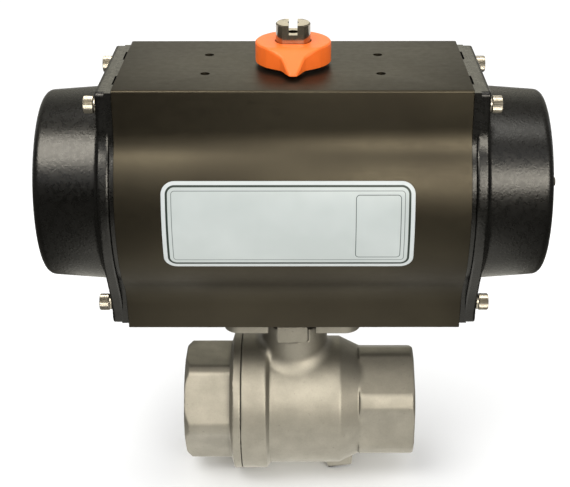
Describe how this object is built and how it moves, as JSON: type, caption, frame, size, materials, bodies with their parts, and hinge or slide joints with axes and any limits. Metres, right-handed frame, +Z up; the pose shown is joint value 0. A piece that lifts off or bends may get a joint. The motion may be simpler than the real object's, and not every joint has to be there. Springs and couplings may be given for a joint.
{
  "type": "pneumatic actuated ball valve",
  "caption": "Spring-return rack-and-pinion pneumatic actuator, mounted directly on a threaded two-piece stainless ball valve, with a pointer on top. Shown closed.",
  "frame": {"origin": "centre of the ball, where the pipe's axis crosses the stem's axis", "axes": "+X along the pipe towards the valve body's threaded end, +Z up along the stem to the pinion, -Y towards the nameplate"},
  "size_m": [0.2442, 0.1083, 0.238],
  "materials": {
    "anodised_housing": "hard anodised, dark bronze, satin",
    "black_casting": "black polyester coating on a casting, semi-gloss with orange peel",
    "cast_stainless": "investment-cast stainless steel, bead blasted",
    "stainless": "machined stainless steel",
    "nickel_steel": "nickel-plated steel, satin",
    "orange_plastic": "moulded plastic, satin",
    "nameplate_foil": "printed metallised foil, blank",
    "white_ptfe": "PTFE, smooth",
    "black_nitrile": "nitrile rubber",
    "grey_acetal": "acetal bearing plastic",
    "cast_aluminium": "die cast aluminium, machined faces",
    "spring_steel": "epoxy-coated spring steel"
  },
  "bodies": {
    "root": {"body_seal": "white_ptfe", "bushing_bottom": "grey_acetal", "bushing_top": "grey_acetal", "cap_screw_left_1": "stainless", "cap_screw_left_2": "stainless", "cap_screw_left_3": "stainless", "cap_screw_left_4": "stainless", "cap_screw_right_1": "stainless", "cap_screw_right_2": "stainless", "cap_screw_right_3": "stainless", "cap_screw_right_4": "stainless", "cap_seal_left": "black_nitrile", "cap_seal_right": "black_nitrile", "disc_spring_lower": "spring_steel", "disc_spring_upper": "spring_steel", "end_cap_left": "black_casting", "end_cap_right": "black_casting", "gland_nut": "stainless", "gland_ring": "stainless", "housing": "anodised_housing", "inner_spring_left": "spring_steel", "inner_spring_right": "spring_steel", "mounting_bolt_1": "stainless", "mounting_bolt_2": "stainless", "mounting_bolt_3": "stainless", "mounting_bolt_4": "stainless", "nameplate": "nameplate_foil", "nut_lock_plate": "cast_stainless", "outer_spring_left": "spring_steel", "outer_spring_right": "spring_steel", "seat_left": "white_ptfe", "seat_right": "white_ptfe", "stem_packing_1": "white_ptfe", "stem_packing_2": "white_ptfe", "stem_packing_3": "white_ptfe", "stem_thrust_washer": "white_ptfe", "tailpiece": "cast_stainless", "thrust_washer_top": "grey_acetal", "travel_stop_nut": "stainless", "travel_stop_screw": "stainless", "valve_body": "cast_stainless"},
    "pinion": {"pinion": "nickel_steel", "indicator": "orange_plastic", "pinion_oring_top": "black_nitrile", "pinion_oring_bottom": "black_nitrile", "circlip": "spring_steel"},
    "stem_and_ball": {"stem": "stainless", "ball": "stainless"},
    "piston_right": {"piston_right": "cast_aluminium", "piston_oring_right": "black_nitrile", "guide_band_right": "white_ptfe", "rack_guide_right": "grey_acetal"},
    "piston_left": {"piston_left": "cast_aluminium", "piston_oring_left": "black_nitrile", "guide_band_left": "white_ptfe", "rack_guide_left": "grey_acetal"}
  },
  "joints": [
    {"name": "pinion_turn", "type": "hinge", "parent": "root", "child": "pinion", "pos_m": [0, 0, 0.122], "axis": [0, 0, 1], "range_deg": [0, 90], "stiffness_Nm_per_rad": 0.3, "springref_deg": -85.94},
    {"name": "valve_turn", "type": "hinge", "parent": "root", "child": "stem_and_ball", "pos_m": [0, 0, 0], "axis": [0, 0, 1], "range_deg": [-1, 91]},
    {"name": "piston_right_slide", "type": "slide", "parent": "root", "child": "piston_right", "axis": [1, 0, 0], "range_m": [-0.0002, 0.02376], "deforming": ["outer_spring_right", "inner_spring_right"]},
    {"name": "piston_left_slide", "type": "slide", "parent": "root", "child": "piston_left", "axis": [-1, 0, 0], "range_m": [-0.0002, 0.02376], "deforming": ["outer_spring_left", "inner_spring_left"]}
  ],
  "couplings": [
    {"joint": "valve_turn", "follows": "pinion_turn", "ratio": 1},
    {"joint": "piston_right_slide", "follows": "pinion_turn", "m_per_rad": 0.015},
    {"joint": "piston_left_slide", "follows": "pinion_turn", "m_per_rad": 0.015}
  ]
}
